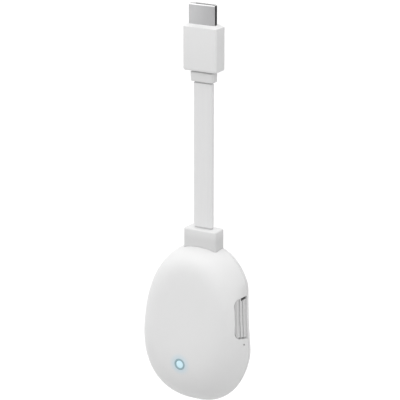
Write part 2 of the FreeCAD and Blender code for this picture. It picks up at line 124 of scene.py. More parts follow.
def ring_mesh(name, rings, loop=False, sharp_from=sharp_edge):
    """Rings joined by quads. Without loop the first and last ring are closed by a fan to their middle."""
    rows, columns, _ = rings.shape
    points = rings.reshape(-1, 3)
    faces = ring_faces(rows, columns, loop).tolist()
    if not loop:
        ends = np.array([rings[0].mean(axis=0), rings[-1].mean(axis=0)])
        points = np.vstack([points, ends])
        first, last = rows * columns, rows * columns + 1
        index = np.arange(columns)
        after = (index + 1) % columns
        base = (rows - 1) * columns
        faces += np.stack([after, index, np.full(columns, first)], axis=-1).tolist()
        faces += np.stack([base + index, base + after, np.full(columns, last)], axis=-1).tolist()
    return put_mesh(name, points, faces, sharp_from)


def face_outwards(piece):
    """Turn the whole closed mesh over if its signed volume says that its faces point inwards."""
    data = piece.data
    data.calc_loop_triangles()
    corners = np.zeros(len(data.vertices) * 3)
    data.vertices.foreach_get("co", corners)
    corners = corners.reshape(-1, 3)
    index = np.zeros(len(data.loop_triangles) * 3, dtype=np.int32)
    data.loop_triangles.foreach_get("vertices", index)
    a, b, c = (corners[index.reshape(-1, 3)[:, k]] for k in range(3))
    volume = float(np.einsum("ij,ij->i", a, np.cross(b, c)).sum() / 6)
    if volume < 0:
        data.flip_normals()
    return abs(volume) * 1e9


def finish_piece(piece, node, material):
    """Ride on the stick, stand for its node and wear its material."""
    volume = face_outwards(piece)
    piece.data.materials.clear()
    piece.data.materials.append(material)
    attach(piece, body_name)
    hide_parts(node)
    print(piece.name, "faces", len(piece.data.polygons), "volume in cubic millimetres", round(volume, 1))
    return piece


# %% [markdown]
# Holes are cut with Boolean modifiers. A hole could be woven into the rings instead, but round
# holes would then be as coarse as the rings; the exact solver keeps their edge a true circle.

# %% Cutting
def carve(piece, cutter, operation="DIFFERENCE"):
    """Apply a Boolean of the cutter to the piece and delete the cutter."""
    modifier = piece.modifiers.new("carve", "BOOLEAN")
    modifier.operation = operation
    modifier.solver = "EXACT"
    modifier.object = cutter
    graph = bpy.context.evaluated_depsgraph_get()
    cut = bpy.data.meshes.new_from_object(piece.evaluated_get(graph))
    piece.modifiers.clear()
    old = piece.data
    piece.data = cut
    cut.name = piece.name
    cut.set_sharp_from_angle(angle=math.radians(sharp_edge))
    bpy.data.meshes.remove(old)
    bpy.data.objects.remove(cutter)


# %% [markdown]
# ## Finishes shared by several pieces
#
# Moulded plastic is never quite even: the tool leaves a fine spark-eroded grain, and handling
# leaves soft patches that shine a little more. Drawn metal and extruded jackets have fine lines.
# Where two parts meet, shade is painted into the colour in a narrow band, and the same kind of
# band paints a highlight along the plug's rim. Each of these effects is needed on many pieces, so
# each is a node group. The groups put out only values, and the shader in each material uses them.

# %% Node helpers
def feed(tree, socket, value):
    """Link the socket to another node's output, or set it to a plain number or vector."""
    if isinstance(value, bpy.types.NodeSocket):
        tree.links.new(value, socket)
    else:
        socket.default_value = value


def new_group(name, amounts, outputs):
    """A shader node group that takes a vector and some named amounts, and puts out floats."""
    group = bpy.data.node_groups.new(name, "ShaderNodeTree")
    group.interface.new_socket("Vector", in_out="INPUT", socket_type="NodeSocketVector")
    for label, amount in amounts.items():
        socket = group.interface.new_socket(label, in_out="INPUT", socket_type="NodeSocketFloat")
        socket.default_value = amount
    for label in outputs:
        group.interface.new_socket(label, in_out="OUTPUT", socket_type="NodeSocketFloat")
    given = group.nodes.new("NodeGroupInput").outputs
    return group, given, group.nodes.new("NodeGroupOutput").inputs


def maths(tree, operation, first, second=0.0):
    """A Math node on two sockets or numbers. Returns its output."""
    node = tree.nodes.new("ShaderNodeMath")
    node.operation = operation
    feed(tree, node.inputs[0], first)
    feed(tree, node.inputs[1], second)
    return node.outputs[0]


def noise(tree, vector, scale, detail):
    """A Noise texture on a vector; scale is a number per metre or a socket. Returns its value."""
    node = tree.nodes.new("ShaderNodeTexNoise")
    node.inputs["Detail"].default_value = detail
    feed(tree, node.inputs["Scale"], scale)
    feed(tree, node.inputs["Vector"], vector)
    return node.outputs[0]


def span(tree, value, low, high, start, end):
    """A smooth Map Range from low..high to start..end."""
    node = tree.nodes.new("ShaderNodeMapRange")
    node.interpolation_type = "SMOOTHSTEP"
    labels = ("Value", "From Min", "From Max", "To Min", "To Max")
    for label, number in zip(labels, (value, low, high, start, end)):
        feed(tree, node.inputs[label], number)
    return node.outputs[0]


# %% Grain, handling marks, drawn lines and bands
def make_mould_grain():
    """Grain: Height is 0.7 of a fine noise and 0.3 of one three times coarser, which is also the Mask."""
    group, given, result = new_group("mould_grain", {"Grains per metre": 3000.0}, ["Height", "Mask"])
    pitch = given["Grains per metre"]
    fine = noise(group, given["Vector"], pitch, 3.0)
    coarse = noise(group, given["Vector"], maths(group, "MULTIPLY", pitch, 0.31), 2.0)
    height = maths(group, "ADD", maths(group, "MULTIPLY", fine, 0.7), maths(group, "MULTIPLY", coarse, 0.3))
    feed(group, result["Height"], height)
    feed(group, result["Mask"], coarse)
    return group


def make_handling_marks():
    """Soft patches a few millimetres wide where fingers have polished the surface: 0 to 1."""
    group, given, result = new_group("handling_marks", {"Patches per metre": 90.0}, ["Mask"])
    value = noise(group, given["Vector"], given["Patches per metre"], 4.0)
    feed(group, result["Mask"], span(group, value, 0.45, 0.75, 0.0, 1.0))
    return group


def make_drawn_lines():
    """Fine lines along one axis, as on drawn or brushed metal: noise stretched along Z."""
    group, given, result = new_group("drawn_lines", {"Lines per metre": 5000.0}, ["Height"])
    stretch = group.nodes.new("ShaderNodeMapping")
    stretch.inputs["Scale"].default_value = (1.0, 1.0, 0.03)
    feed(group, stretch.inputs["Vector"], given["Vector"])
    value = noise(group, stretch.outputs["Vector"], given["Lines per metre"], 2.0)
    feed(group, result["Height"], value)
    return group


def make_height_band():
    """1 near a height and 0 beyond its reach, both in metres: a smooth step of |z - height| / reach."""
    group, given, result = new_group("height_band", {"Height": 0.0, "Reach": 0.001}, ["Mask"])
    parts = group.nodes.new("ShaderNodeSeparateXYZ")
    feed(group, parts.inputs["Vector"], given["Vector"])
    away = maths(group, "ABSOLUTE", maths(group, "SUBTRACT", parts.outputs["Z"], given["Height"]))
    share = maths(group, "DIVIDE", away, given["Reach"])
    feed(group, result["Mask"], span(group, share, 0.4, 1.0, 1.0, 0.0))
    return group


mould_grain = make_mould_grain()
handling_marks = make_handling_marks()
drawn_lines = make_drawn_lines()
height_band = make_height_band()
print("node groups", [group.name for group in bpy.data.node_groups])


# %% [markdown]
# A finish is put together in steps: colour, roughness and bump each take a mask from one of the
# groups. A small class holds the tree while that happens, and two functions on top of it make
# the finishes that most pieces share, moulded plastic and drawn metal.

# %% Materials made of these groups
class Finish:
    """A material in the making: its tree, its shader and the object coordinates."""

    def __init__(self, name, metallic=0.0, ior=1.47):
        """An empty material whose even numbers sit on the shader's own sockets."""
        self.material = bpy.data.materials.new(name)
        self.material.use_nodes = True
        self.tree = self.material.node_tree
        self.shader = self.tree.nodes["Principled BSDF"]
        self.shader.inputs["Metallic"].default_value = metallic
        self.shader.inputs["IOR"].default_value = ior
        self.place = self.tree.nodes.new("ShaderNodeTexCoord").outputs["Object"]

    def group(self, group, **amounts):
        """Place a node group on the object coordinates and set its amounts. Returns its outputs."""
        node = self.tree.nodes.new("ShaderNodeGroup")
        node.node_tree = group
        feed(self.tree, node.inputs["Vector"], self.place)
        for label, amount in amounts.items():
            node.inputs[label.replace("_", " ")].default_value = amount
        return node.outputs

    def band(self, height, reach):
        """Mask of a band round a height; both in millimetres."""
        return self.group(height_band, Height=height / 1000, Reach=reach / 1000)["Mask"]

    def blend(self, mask, first, second):
        """A colour that goes from first to second as the mask goes from 0 to 1."""
        node = self.tree.nodes.new("ShaderNodeMix")
        node.data_type = "RGBA"
        feed(self.tree, node.inputs["Factor"], mask)
        sockets = [socket for socket in node.inputs if socket.type == "RGBA"]
        for socket, colour in zip(sockets, (first, second)):
            feed(self.tree, socket, (*colour, 1.0) if isinstance(colour, tuple) else colour)
        return [socket for socket in node.outputs if socket.type == "RGBA"][0]

    def colour(self, value):
        """Wear this colour."""
        feed(self.tree, self.shader.inputs["Base Color"], value)

    def rough(self, value):
        """Take this roughness."""
        feed(self.tree, self.shader.inputs["Roughness"], value)

    def spread(self, grain, start, end):
        """A number that follows the grain's mask over its usual range, from start to end."""
        return span(self.tree, grain["Mask"], 0.3, 0.7, start, end)

    def bump(self, height, depth):
        """Raise the surface by the height, where depth is in metres."""
        node = self.tree.nodes.new("ShaderNodeBump")
        node.inputs["Strength"].default_value = 1.0
        node.inputs["Distance"].default_value = depth
        feed(self.tree, node.inputs["Height"], height)
        feed(self.tree, self.shader.inputs["Normal"], node.outputs["Normal"])


def satin(name, grains, start, end, depth, ior=1.47):
    """A finish raised by the grain, whose roughness follows it from start to end. Also returns its mask."""
    finish = Finish(name, ior=ior)
    grain = finish.group(mould_grain, Grains_per_metre=grains)
    finish.rough(finish.spread(grain, start, end))
    finish.bump(grain["Height"], depth)
    return finish, grain["Mask"]


def shaded(colour, share):
    """The colour times a share."""
    return tuple(channel * share for channel in colour)


def moulded_plastic(name, colour, roughness=0.42, grains=3000.0, depth=0.000006, tone=0.97, joint=None,
                    glow=None):
    """Grained plastic: the grain lifts the surface, and handled patches are smoother and a touch darker.

    A joint is (height, reach, shade): within its reach in millimetres the colour is darkened to that share,
    as painted shade.
    A glow is (centre, near, far, share, colour), in metres: light creeps into the plastic round the centre.
    """
    finish = Finish(name)
    grain = finish.group(mould_grain, Grains_per_metre=grains)
    marks = finish.group(handling_marks, Patches_per_metre=90.0)
    skin = finish.blend(maths(finish.tree, "MULTIPLY", marks["Mask"], 0.5), colour, shaded(colour, tone))
    if joint:
        height, reach, shade = joint
        # painted shade: the colour darkens to the joint's share within the band
        skin = finish.blend(finish.band(height, reach), skin, shaded(colour, shade))
    if glow:
        centre, near, far, share, light = glow
        away = finish.tree.nodes.new("ShaderNodeVectorMath")
        away.operation = "DISTANCE"
        away.inputs[1].default_value = centre
        feed(finish.tree, away.inputs[0], finish.place)
        skin = finish.blend(span(finish.tree, away.outputs["Value"], near, far, share, 0.0), skin, light)
    finish.colour(skin)
    spread = finish.spread(grain, roughness + 0.04, roughness - 0.02)
    polish = maths(finish.tree, "MULTIPLY", marks["Mask"], 0.06)
    finish.rough(maths(finish.tree, "SUBTRACT", spread, polish))
    finish.bump(grain["Height"], depth)
    return finish.material


# The bright colour of a painted highlight on a metal rim.
rim_painted_highlight = (0.92, 0.92, 0.92)


def plain_metal(name, colour, roughness, lines=5000.0, depth=0.000003, rim=None):
    """Bright metal with drawn lines and faint patches in its polish.

    A rim is a (height, reach) pair in millimetres where a bright highlight is painted into the colour.
    """
    finish = Finish(name, metallic=1.0)
    drawn = finish.group(drawn_lines, Lines_per_metre=lines)
    marks = finish.group(handling_marks, Patches_per_metre=160.0)
    surface = finish.blend(drawn["Height"], colour, shaded(colour, 0.93))
    if rim:
        # painted highlight: the colour turns bright within the rim's band
        surface = finish.blend(finish.band(*rim), surface, rim_painted_highlight)
    finish.colour(surface)
    finish.rough(span(finish.tree, marks["Mask"], 0.0, 1.0, roughness, roughness + 0.07))
    finish.bump(drawn["Height"], depth)
    return finish.material


# %% [markdown]
# ## The body's form
#
# Both shells share one outline, an egg: a superellipse whose sides draw together towards the
# top. The front is a dome over that outline. It could be sculpted or subdivided from a cage,
# but as a formula each ring is the same egg, smaller and further out, so the surface is smooth
# at any fineness. It follows the model's body to within half a millimetre, and adds what the
# photograph shows besides: a shallow flat along the right side, in which the vent lies, and a
# parting line a little further back.

# %% Sizes of the body
body_lean = math.radians(8.0)
relief_top = -98.5
half_width = 27.9
half_length = 38.4
body_middle = -46.1
egg_exponent = 2.34
egg_taper = 0.07
parting_depth = 3.7
front_depth = 18.05
edge_power = 5.95
crown_power = 1.3
front_rise = 14.0
back_depth = 5.0
back_round = 4.7
shell_wall = 1.6
parting_gap = 0.18
rim_round = 0.35
rear_rim_round = 0.2
flat_side = 25.55
flat_middle = -39.1
flat_slope = 0.119
flat_dip = 0.5
flat_reach = 17.0
flat_blend = 0.9
front_face = parting_depth - front_depth
back_face = parting_depth + back_depth
front_rim = parting_depth - parting_gap / 2
rear_rim = parting_depth + parting_gap / 2
print("body in millimetres", 2 * half_width, "by", 2 * half_length, "by", front_depth + back_depth)


def lean(points):
    """From the body's upright frame to its place: turned about X by the lean, then lowered."""
    x, y, z = np.moveaxis(points, -1, 0)
    down = math.cos(body_lean) * z - math.sin(body_lean) * y + relief_top
    return np.stack([x, math.cos(body_lean) * y + math.sin(body_lean) * z, down], axis=-1)


def upright(points):
    """The inverse of lean: from the part's frame back to the body's upright frame."""
    x, y, z = np.moveaxis(points, -1, 0)
    z = z - relief_top
    back = math.cos(body_lean) * y - math.sin(body_lean) * z
    return np.stack([x, back, math.sin(body_lean) * y + math.cos(body_lean) * z], axis=-1)


def egg(angle, across, along):
    """The egg outline: radius = (|cos/across|^n + |sin/along|^n)^(-1/n), narrowed towards +Z by the taper."""
    powers = np.abs(np.cos(angle) / across) ** egg_exponent + np.abs(np.sin(angle) / along) ** egg_exponent
    radius = powers ** (-1 / egg_exponent)
    z = radius * np.sin(angle)
    return radius * np.cos(angle) * (1 - egg_taper * z / along), z


def dome_depth(size, reach):
    """How far out the ring of that size lies: reach times (1 - size^edge_power)^(1/crown_power)."""
    return reach * (1 - size ** edge_power) ** (1 / crown_power)


def size_at_depth(step, reach):
    """The inverse of dome_depth: the size of the ring at that distance out."""
    return (1 - np.clip(step / reach, 0, 1) ** crown_power) ** (1 / edge_power)


def side_flat(z):
    """X of the shallow hollow in the right side: a sloping line less a parabola of small depth."""
    line = flat_side - flat_slope * (z - flat_middle)
    return line - flat_dip * np.clip(1 - ((z - flat_middle) / flat_reach) ** 2, 0, 1)


def smooth_step(value):
    """0 below 0, 1 above 1, and an even S between."""
    held = np.clip(value, 0, 1)
    return held * held * (3 - 2 * held)


def soft_least(first, second, blend):
    """The smaller of two values, rounded where they cross: min - (blend - |difference|)^2 / (4 blend)."""
    near = np.clip(blend - np.abs(first - second), 0, blend)
    return np.minimum(first, second) - near ** 2 / (4 * blend)


def egg_rings(angle, size, inset, depth):
    """Rings of the egg at each size and inset; their middle rises as they shrink.

    On the right they are cut back to the side's flat, drawn in by the same inset. The angles have a
    row for each ring, or one row for all.
    """
    across = ((half_width - inset) * size)[:, None]
    along = ((half_length - inset) * size)[:, None]
    x, z = egg(angle, across, along)
    z = z + (body_middle + front_rise * (1 - size))[:, None]
    x = np.where(x > 0, soft_least(x, side_flat(z) - inset[:, None], flat_blend), x)
    return np.stack([x, np.broadcast_to(depth[:, None], x.shape), z], axis=-1)


def full_circle(steps):
    """Cosines and sines of evenly spaced angles round a full turn."""
    turn = np.linspace(0, 2 * math.pi, steps, endpoint=False)
    return np.cos(turn), np.sin(turn)


def rounding(radius, steps):
    """A quarter circle that turns a wall over into its end: radius times (1 - cos, 1 - sin).

    Each row is how far in from the wall, and how far short of the end.
    """
    turn = np.linspace(0, math.pi / 2, steps)
    return radius * np.stack([1 - np.cos(turn), 1 - np.sin(turn)], axis=-1)


# %% [markdown]
# The rings must lie closer together where small things are: round the vent on the right side and
# at the status light. In the vent's zone the columns run level and the rings run upright, so the
# lip of its window can be rounded cleanly along both.

# %% Rings and columns
vent_front = -6.65
vent_back = 3.55
vent_top = -29.5
vent_bottom = -48.8
vent_top_slope = 0.12
vent_bottom_slope = -0.1
vent_corner = 2.9
vent_lip = 0.45
vent_run_out = 6.0
vent_margin = 1.6
vent_zone = (-54.0, -26.0)
lip_steps = np.array([0.0, 0.06, 0.12, 0.2, 0.3, 0.45, 0.65])
light_level = -64.4
light_size = (body_middle + front_rise - light_level) / (half_length + front_rise)
light_margin = 0.09
round_columns = 190


def merge_steps(*stretches, singles=()):
    """Sorted positions from (start, end, step) stretches and single ones, with near doubles dropped."""
    every = np.sort(np.concatenate([np.arange(*stretch) for stretch in stretches] + [singles]))
    keep = np.concatenate([[True], np.diff(every) > 1e-4])
    return every[keep]


def front_sizes():
    """Ring sizes from the rim to the crown: fine in depth across the vent, then fine at the light."""
    last = parting_depth - rim_round
    depths = merge_steps((vent_front - vent_margin, last, 0.35),
                         singles=np.concatenate([vent_front - lip_steps, vent_front + lip_steps, [last]]))
    near = size_at_depth(parting_depth - depths, front_depth)
    low, high = light_size - light_margin, light_size + light_margin
    inner = merge_steps((0.04, low, 0.035), (low, high, 0.01), (high, near.min() - 0.01, 0.018))
    return np.concatenate([np.sort(near)[::-1], inner[::-1]])


def column_angles(size):
    """Angles of the columns on each ring: level in the vent's zone, spread evenly over the rest."""
    levels = merge_steps((*vent_zone, 0.5), (vent_top - 2.0, vent_top + 0.7, 0.1),
                         (vent_bottom - 1.6, vent_bottom + 0.7, 0.1),
                         (vent_top - vent_corner - 1.0, vent_top, 0.25),
                         (vent_bottom, vent_bottom + vent_corner, 0.25))
    zone_end = size_at_depth(parting_depth - vent_front + vent_margin, front_depth)
    held = np.maximum(size, zone_end)[:, None]
    height = (levels[None, :] - body_middle - front_rise * (1 - held)) / (half_length * held)
    side = half_width * (1 - np.abs(height) ** egg_exponent) ** (1 / egg_exponent)
    zone = np.arctan2(half_length * height, side)
    share = np.linspace(0, 1, round_columns)[1:-1][None, :]
    rest = zone[:, -1:] + share * (2 * math.pi + zone[:, :1] - zone[:, -1:])
    return np.concatenate([zone, rest], axis=1)


sizes = front_sizes()
angles = column_angles(sizes)
print("rings", len(sizes), "columns", angles.shape[1])


# %% [markdown]
# ## Front cover
#
# The domed front is one injection moulding, about 1.6 mm thick, with a narrow rounded rim at the
# parting line and a rebate behind it for the rear cover's lip. The vent's window has a soft
# rounded lip of its own: a small drop added to the dome near the window's outline. The window
# itself, the light's hole and the reset pinhole are then cut through.

# %% The window's outline and lip
window_reach = (19.0, 33.0)
right_side = 15.0
lip_share = 0.7
vent_end = vent_back + vent_run_out


def window_ends(y):
    """Middle and half height of the window: its top edge climbs and its lower edge falls towards the back."""
    top = vent_top + vent_top_slope * (y - vent_back)
    bottom = vent_bottom + vent_bottom_slope * (y - vent_front)
    return (top + bottom) / 2, (top - bottom) / 2


def window_distance(y, z):
    """Signed distance in the side plane to the window's rounded, flared outline, negative inside."""
    middle, half = window_ends(y)
    y_out = np.abs(y - (vent_front + vent_end) / 2) - (vent_end - vent_front) / 2 + vent_corner
    z_out = np.abs(z - middle) - half + vent_corner
    outside = np.hypot(np.maximum(y_out, 0), np.maximum(z_out, 0))
    return outside + np.minimum(np.maximum(y_out, z_out), 0) - vent_corner


def soften_lip(points):
    """Drop the surface towards the window by a quarter circle of radius vent_lip, only on the right side."""
    distance = window_distance(points[..., 1], points[..., 2])
    reach = np.clip(vent_lip - distance, 0, vent_lip)
    drop = vent_lip - np.sqrt(vent_lip ** 2 - reach ** 2)
    drop = np.where(points[..., 0] > right_side, np.minimum(drop, vent_lip * lip_share), 0)
    moved = points.copy()
    moved[..., 0] -= drop
    return moved


def rounded_outline(width, depth, corner, per_corner=10):
    """Points round a rectangle with circular corners, in the XY plane."""
    turn = np.linspace(0, math.pi / 2, per_corner)
    quarter = corner * np.stack([np.cos(turn), np.sin(turn)], axis=-1)
    middle = np.array([width / 2 - corner, depth / 2 - corner])
    parts = []
    for index, (sx, sy) in enumerate(((1, 1), (-1, 1), (-1, -1), (1, -1))):
        arc = quarter if index % 2 == 0 else quarter[::-1]
        parts.append((arc + middle) * np.array([sx, sy]))
    return np.concatenate(parts)


def window_bar(name, gap):
    """The window's flared outline, less a gap, drawn along X; it runs out past the parting line."""
    height = vent_top - vent_bottom - 2 * gap
    outline = rounded_outline(vent_end - vent_front - 2 * gap, height, vent_corner - gap, 16)
    y = outline[:, 0] + (vent_front + vent_end) / 2
    middle, half = window_ends(y)
    z = middle + outline[:, 1] * (half - gap) / (height / 2)
    rings = np.stack([np.stack([np.full_like(y, x), y, z], axis=-1) for x in window_reach])
    return ring_mesh(name, lean(rings))


# %% The cover's rings
rebate_inset = 0.75
rebate_depth = 1.5


def front_cover_rings():
    """Outer dome from crown to rim, a rounded rim, a rebate, and the inner wall back to the crown."""
    outer = egg_rings(angles, sizes, np.zeros_like(sizes), parting_depth - dome_depth(sizes, front_depth))
    outer = soften_lip(outer)[::-1]
    steps = np.vstack([rounding(rim_round, 6)[1:] * (1, -1) + (0, front_rim),
                       [(rebate_inset, front_rim), (rebate_inset, parting_depth - rebate_depth),
                        (shell_wall, parting_depth - rebate_depth)]])
    inset, depth = steps.T
    rim = egg_rings(angles[:1], np.ones(len(steps)), inset, depth)
    reach = front_depth - shell_wall
    inner_sizes = np.concatenate([size_at_depth(np.arange(2.0, 11.0, 0.8), reach),
                                  np.linspace(0.8, 0.05, 14)])
    inner = egg_rings(angles[-1:], inner_sizes, np.full(len(inner_sizes), shell_wall),
                      parting_depth - dome_depth(inner_sizes, reach))
    return np.concatenate([outer, rim, inner])


# %% [markdown]
# The power socket's mouth is in the lower end and the parting line runs through its rear half, so
# both shells are cut by one rounded slot. The cable relief is a block that passes through both
# shells at the top. Every cutter is an outline drawn along one axis.

# %% The cutters
light_radius = 2.75
pinhole_radius = 0.6
pinhole_depth = -0.5
pinhole_level = -52.2
pinhole_reach = (20, 32)
seat_gap = 0.05
usb_width = 8.94
usb_depth = 3.26
usb_middle = 2.7
usb_gap = 0.1
relief_width = 17.65
relief_depth = 8.4
relief_corner = 1.1
relief_gap = 0.2
relief_height = 14.0


def body_rod(name, start, end, radius, sides=64):
    """A cylinder between two points of the body's upright frame, made as two rings."""
    start, end = lean(np.array(start, dtype=float)), lean(np.array(end, dtype=float))
    along = (end - start) / np.linalg.norm(end - start)
    side = np.cross(along, [0.3, 0.5, 0.8])
    side /= np.linalg.norm(side)
    across, up = full_circle(sides)
    circle = radius * (across[:, None] * side + up[:, None] * np.cross(along, side))
    return ring_mesh(name, np.stack([start + circle, end + circle]))


def upright_bar(outline, levels):
    """Rings of an outline in the XY plane at each level."""
    return np.stack([np.column_stack([outline, np.full(len(outline), level)]) for level in levels])


def slot_cutter():
    """The power socket's rounded slot through the lower end."""
    outline = rounded_outline(usb_width + 2 * usb_gap, usb_depth + 2 * usb_gap, usb_depth / 2 + usb_gap, 14)
    end = body_middle - half_length
    return ring_mesh("slot_cutter", lean(upright_bar(outline + (0, usb_middle), (end - 5, end + 9))))


def relief_cutter():
    """The cable relief's block with its clearance."""
    outline = rounded_outline(relief_width + 2 * relief_gap, relief_depth + 2 * relief_gap,
                              relief_corner + relief_gap)
    return ring_mesh("relief_cutter", upright_bar(outline, (relief_top - relief_height, relief_top + 1)))


# %% [markdown]
# The covers' plastic is a neutral white with a satin, finely grained skin. Round the status
# light the plastic glows faintly blue, because light creeps into it from the ring; a mask that
# falls off with the distance from the light gives that.

# %% Make the front cover
white_plastic = (0.80, 0.80, 0.80)
glow_colour = (0.62, 0.76, 0.84)
glow_near = 0.0025
glow_far = 0.0062
glow_share = 0.75


def light_centre():
    """The middle of the status light on the dome, in metres in the part's frame."""
    depth = parting_depth - dome_depth(light_size, front_depth)
    return lean(np.array([0.0, depth, light_level])) / 1000


def front_cutters():
    """The window, the light's hole, the pinhole, and the front's share of the slot and the relief."""
    light, face = (0, 0, light_level), (0, front_face - 1, light_level)
    start, end = [(x, pinhole_depth, pinhole_level) for x in pinhole_reach]
    return [window_bar("window_cutter", 0.0),
            body_rod("light_cutter", face, light, light_radius + seat_gap),
            body_rod("pinhole_cutter", start, end, pinhole_radius),
            slot_cutter(), relief_cutter()]


def make_cover(name, rings, cutters, node, material):
    """A closed shell from its rings, less each of the cutters in turn."""
    cover = ring_mesh(name, lean(rings))
    face_outwards(cover)
    for cutter in cutters:
        carve(cover, cutter)
    finish_piece(cover, node, material)


glow = (light_centre(), glow_near, glow_far, glow_share, glow_colour)
make_cover("front_cover", front_cover_rings(), front_cutters(), "front_shell",
           moulded_plastic("front_cover_plastic", white_plastic, glow=glow))


# %% [markdown]
# ## Rear cover
#
# The back is a flat tray with a rounded rear edge. Its wall is the egg drawn straight back, then
# turned in by a quarter circle: a profile carried round the outline. A lip stands up inside the
# rim and reaches into the front cover. The flat back and floor shrink by size and not by inset,
# so their rings stay clear of the side's flat.

# %% Make the rear cover
rear_lip_inset = 0.85
rear_lip_height = 1.2
flat_shares = (0.04, 0.2, 0.4, 0.6, 0.8)


def rear_cover_rings():
    """From the middle of the flat back out to the rounding, up the wall, over the rim and back inside."""
    inner_face = back_face - shell_wall
    lip_top = parting_depth - rear_lip_height
    wall = np.vstack([rounding(back_round, 14)[::-1] * (1, -1) + (0, back_face),
                      rounding(rear_rim_round, 6) + (0, rear_rim),
                      [(rear_lip_inset, rear_rim), (rear_lip_inset, lip_top), (shell_wall, lip_top)],
                      rounding(back_round - shell_wall, 14) * (1, -1) + (shell_wall, inner_face)])
    flats = [(share, back_round, back_face) for share in flat_shares]
    floors = [(share, back_round, inner_face) for share in flat_shares[::-1]]
    size, inset, depth = np.vstack([flats, np.column_stack([np.ones(len(wall)), wall]), floors]).T
    return egg_rings(angles[:1], size, inset, depth)


def lip_notch():
    """A block over the inner lip beside the window, where the vent's insert fills the wall."""
    low, high = parting_depth - 2.0, parting_depth + parting_gap / 4
    outline = np.array([[20.0, low], [30.0, low], [30.0, high], [20.0, high]])
    return ring_mesh("lip_notch", lean(upright_bar(outline, (vent_bottom - 1.2, vent_top + 0.6))))


make_cover("rear_cover", rear_cover_rings(), [lip_notch(), slot_cutter(), relief_cutter()], "rear_shell",
           moulded_plastic("rear_cover_plastic", white_plastic))


# %% [markdown]
# ## Vent
#
# The window in the right side is filled by an insert: a soft valley along its front edge, three
# upright ribs with round crowns, and a narrow slot between each two. The insert ends in a plain
# strip at the parting line. Over the ribs' upper ends a deep gap shows as a dark stroke, and
# under their lower ends there is a shallow one. A height field is the natural form: for each
# point of the side plane, how far out the insert reaches. Its outline is trimmed afterwards.

# %% The insert's height field
fit_gap = 0.1
rib_edges = (-5.3, -2.75, 0.1, 2.1)
rib_sink = 0.15
rib_crown = 0.5
valley_depth = 0.42
valley_rise = 1.7
valley_width = rib_edges[1] - vent_front - 1.6
valley_end = rib_edges[0] + 1.5
strip_depth = 0.1
strip_blend = 0.6
slot_depth = 1.7
slot_half = 0.22
slot_blend = 0.2
end_gap = 1.12
end_depth = 1.5
end_blend = 0.4
end_run_in = 0.8
end_wall = 0.15
upper_start = rib_edges[1] + 1.0
lower_start = rib_edges[0] + 0.2
lower_gap = 0.6
lower_depth = 0.16
gap_shade = 1.1
insert_thickness = 3.6


def rib_profile(y):
    """Height over the insert's base: each rib is a parabola between its edges, the front valley a sine."""
    height = np.full_like(y, -valley_depth)
    for low, high in zip(rib_edges[:-1], rib_edges[1:]):
        across = (2 * y - low - high) / (high - low)
        height = np.where((y >= low) & (y <= high), rib_crown * (1 - across ** 2), height)
    rise = smooth_step((y - vent_front) / valley_rise)
    front = -valley_depth * np.sin(math.pi * np.clip((y - vent_front) / valley_width, 0, 1)) * rise
    height = np.where(y < valley_end, front, height)
    return np.where(y > rib_edges[-1], -strip_depth * smooth_step((y - rib_edges[-1]) / strip_blend), height)


def end_trough(y, z):
    """How much a point lies in the gap past the ribs' ends, 0 to 1, and how deep that gap is, 0 to 1."""
    middle, half = window_ends(y)
    below = z < middle
    ends = half - np.abs(z - middle) - end_gap * np.where(below, lower_gap, 1.0)
    start = np.where(below, lower_start, upper_start)
    trough = (1 - smooth_step(ends / end_blend)) * smooth_step((y - start) / end_run_in)
    return trough, np.where(below, lower_depth, 1.0)


def insert_surface(y, z):
    """X of the insert: the side's flat less a little, with ribs on it, slots between and gaps at the ends."""
    base = side_flat(z) - rib_sink - rib_crown
    slot = np.zeros_like(y)
    for place in rib_edges[1:-1]:
        slot = np.maximum(slot, 1 - smooth_step((np.abs(y - place) - slot_half) / slot_blend))
    trough, share = end_trough(y, z)
    trough = trough * (1 - smooth_step((y - vent_back + end_wall) / end_wall))
    drop = np.maximum(slot * slot_depth, trough * end_depth * share)
    return base + rib_profile(y) * (1 - trough) - drop


# %% [markdown]
# Shade is painted into the slots and gaps of the vent. Pointiness could find them, but
# it changes with the mesh; here each point keeps how deep it lies, and the plastic's colour darkens
# with that depth, a painted shade.

# %% Make the vent's insert
vent_white = (0.70, 0.70, 0.70)
# Painted shade in the slots and gaps: its colour, and the depths over which it comes in.
vent_painted_shade = (0.16, 0.16, 0.16)
shade_start = 0.5
shade_full = 1.4


def mark_recesses(insert):
    """Keep on each point how deep it lies under the ribs' crowns, as the attribute recess.

    It is in millimetres, and all of a gap at the ribs' ends, its walls too, counts as deeper by gap_shade.
    """
    places = np.zeros(len(insert.data.vertices) * 3)
    insert.data.vertices.foreach_get("co", places)
    x, y, z = upright(places.reshape(-1, 3) * 1000).T
    trough, share = end_trough(y, z)
    recess = insert.data.attributes.new("recess", "FLOAT", "POINT")
    recess.data.foreach_set("value", side_flat(z) - rib_sink - x + gap_shade * trough * share)


def vent_plastic():
    """Light grey plastic whose colour darkens to a painted shade between the two depths."""
    finish, _ = satin("vent_plastic", 3600.0, 0.42, 0.36, 0.000004)
    depth = finish.tree.nodes.new("ShaderNodeAttribute")
    depth.attribute_name = "recess"
    # painted shade, deeper with the recess
    shade_mask = span(finish.tree, depth.outputs["Fac"], shade_start, shade_full, 0.0, 1.0)
    finish.colour(finish.blend(shade_mask, vent_white, vent_painted_shade))
    return finish.material


